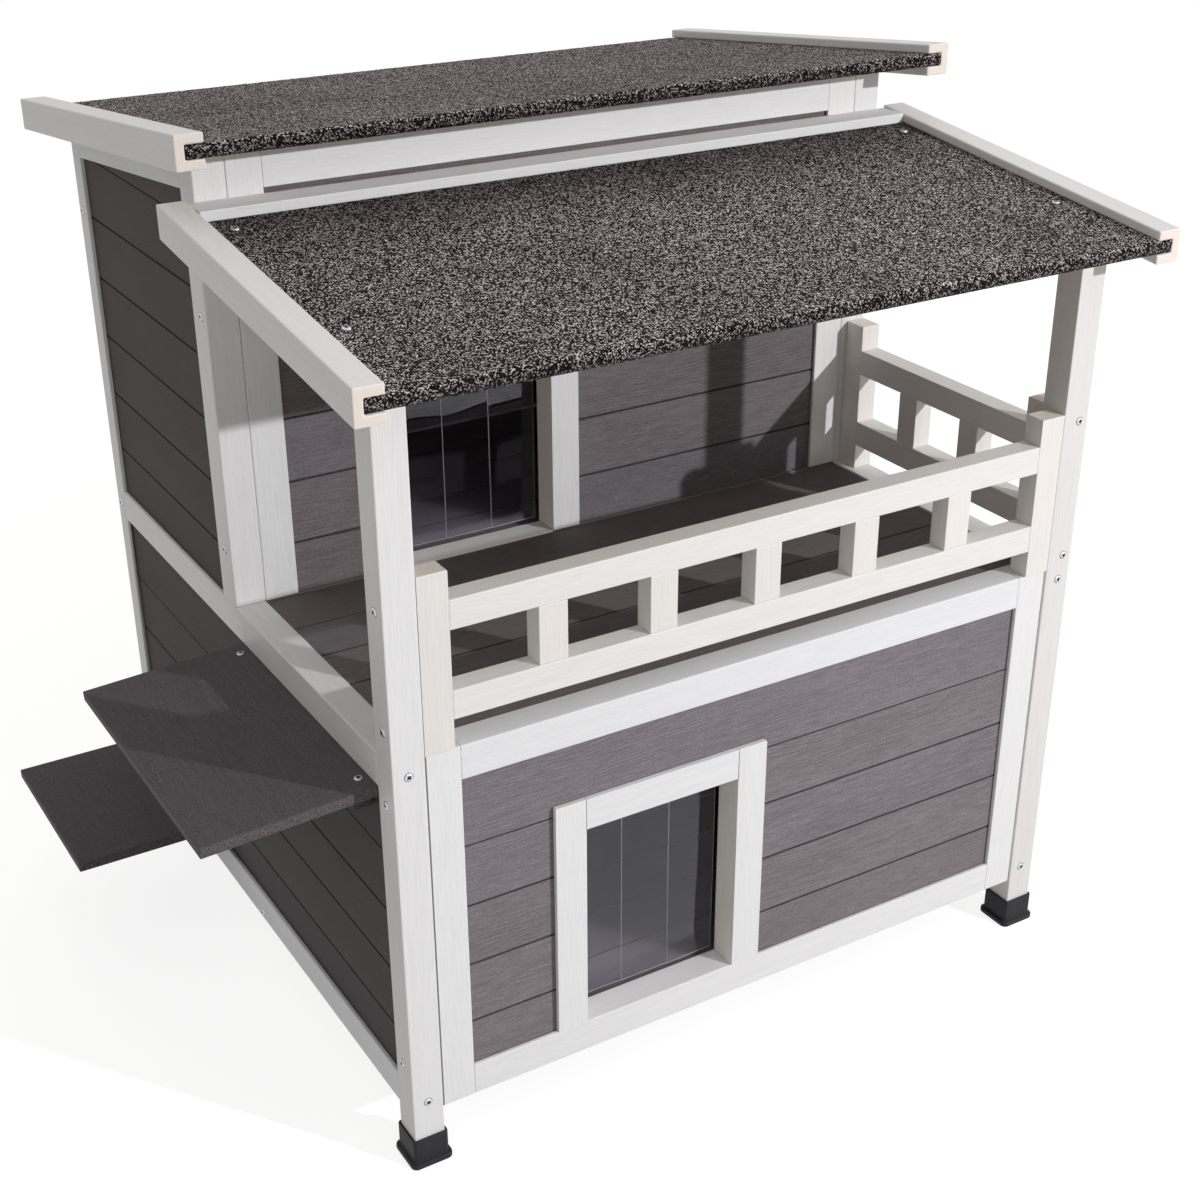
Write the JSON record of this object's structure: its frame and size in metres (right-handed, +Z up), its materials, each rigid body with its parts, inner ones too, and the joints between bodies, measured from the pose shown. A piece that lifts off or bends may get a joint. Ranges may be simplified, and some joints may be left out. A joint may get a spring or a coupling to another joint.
{
  "type": "cat house",
  "caption": "Two-storey wooden cat house: grey board walls in white frames, railed balcony under a felt roof, hinged felt upper roof, strip-curtain doors, side steps and capped legs.",
  "frame": {"origin": "middle of the whole outer box, on the ground under the leg caps", "axes": "+X to the house's right, seen from its front, +Y to its back, +Z up"},
  "size_m": [0.887, 0.7484, 0.8343],
  "materials": {
    "white_paint": "satin white paint over fine softwood grain",
    "grey_paint": "matt warm grey stain over fine softwood grain",
    "bare_wood": "planed softwood, unpainted",
    "roof_felt": "bitumen felt with brown, black and pale mineral granules",
    "clear_pvc": "clear soft sheet, slightly wavy",
    "zinc_steel": "bright zinc plate",
    "black_plastic": "fine-textured moulded plastic"
  },
  "bodies": {
    "house": {"front_left_post": "white_paint", "front_right_post": "white_paint", "back_left_post": "white_paint", "back_right_post": "white_paint", "front_stiles": "white_paint", "front_rails": "white_paint", "left_mid_rail": "white_paint", "left_bottom_rail": "white_paint", "right_mid_rail": "white_paint", "right_bottom_rail": "white_paint", "back_rails": "white_paint", "left_upper_post": "white_paint", "left_upper_rail": "white_paint", "right_upper_post": "white_paint", "right_upper_rail": "white_paint", "upper_front_stiles": "white_paint", "upper_front_rails": "white_paint", "lower_door_casing": "white_paint", "upper_door_casing": "white_paint", "lower_curtain_clamp": "white_paint", "upper_curtain_clamp": "white_paint", "front_railing_frame": "white_paint", "front_railing_balusters": "white_paint", "right_railing_frame": "white_paint", "right_railing_balusters": "white_paint", "lower_roof_left_bargeboard": "white_paint", "lower_roof_right_bargeboard": "white_paint", "lower_roof_bearers": "white_paint", "lower_roof_ledger": "white_paint", "front_boards": "grey_paint", "upper_front_boards": "grey_paint", "left_lower_boards": "grey_paint", "left_upper_boards": "grey_paint", "right_lower_boards": "grey_paint", "right_upper_boards": "grey_paint", "back_lower_boards": "grey_paint", "back_upper_boards": "grey_paint", "lower_floor": "grey_paint", "balcony_floor": "grey_paint", "upper_floor": "grey_paint", "upper_step": "grey_paint", "lower_step": "grey_paint", "lower_roof_deck": "bare_wood", "floor_battens": "bare_wood", "step_battens": "bare_wood", "lower_roof_felt": "roof_felt", "hinge_wall_leaves": "zinc_steel", "hinge_pins": "zinc_steel", "leg_caps": "black_plastic"},
    "upper_roof": {"upper_roof_deck": "bare_wood", "upper_roof_felt": "roof_felt", "upper_roof_left_bargeboard": "white_paint", "upper_roof_right_bargeboard": "white_paint", "hinge_roof_leaves": "zinc_steel"},
    "lower_strip_left": {"lower_strip_left": "clear_pvc"},
    "lower_strip_middle": {"lower_strip_middle": "clear_pvc"},
    "lower_strip_right": {"lower_strip_right": "clear_pvc"},
    "upper_strip_left": {"upper_strip_left": "clear_pvc"},
    "upper_strip_middle": {"upper_strip_middle": "clear_pvc"},
    "upper_strip_right": {"upper_strip_right": "clear_pvc"}
  },
  "joints": [
    {"name": "roof_hinge", "type": "hinge", "parent": "house", "child": "upper_roof", "pos_m": [0.0615, 0.33645, 0.77036], "axis": [-1, 0, 0], "range_deg": [0, 90]},
    {"name": "lower_strip_left_swing", "type": "hinge", "parent": "house", "child": "lower_strip_left", "pos_m": [-0.08703, -0.29595, 0.2852], "axis": [1, 0, 0], "range_deg": [-75, 75]},
    {"name": "lower_strip_middle_swing", "type": "hinge", "parent": "house", "child": "lower_strip_middle", "pos_m": [-0.038, -0.29595, 0.2852], "axis": [1, 0, 0], "range_deg": [-75, 75]},
    {"name": "lower_strip_right_swing", "type": "hinge", "parent": "house", "child": "lower_strip_right", "pos_m": [0.01103, -0.29595, 0.2852], "axis": [1, 0, 0], "range_deg": [-75, 75]},
    {"name": "upper_strip_left_swing", "type": "hinge", "parent": "house", "child": "upper_strip_left", "pos_m": [-0.08703, 0.02405, 0.6027], "axis": [1, 0, 0], "range_deg": [-75, 75]},
    {"name": "upper_strip_middle_swing", "type": "hinge", "parent": "house", "child": "upper_strip_middle", "pos_m": [-0.038, 0.02405, 0.6027], "axis": [1, 0, 0], "range_deg": [-75, 75]},
    {"name": "upper_strip_right_swing", "type": "hinge", "parent": "house", "child": "upper_strip_right", "pos_m": [0.01103, 0.02405, 0.6027], "axis": [1, 0, 0], "range_deg": [-75, 75]}
  ]
}
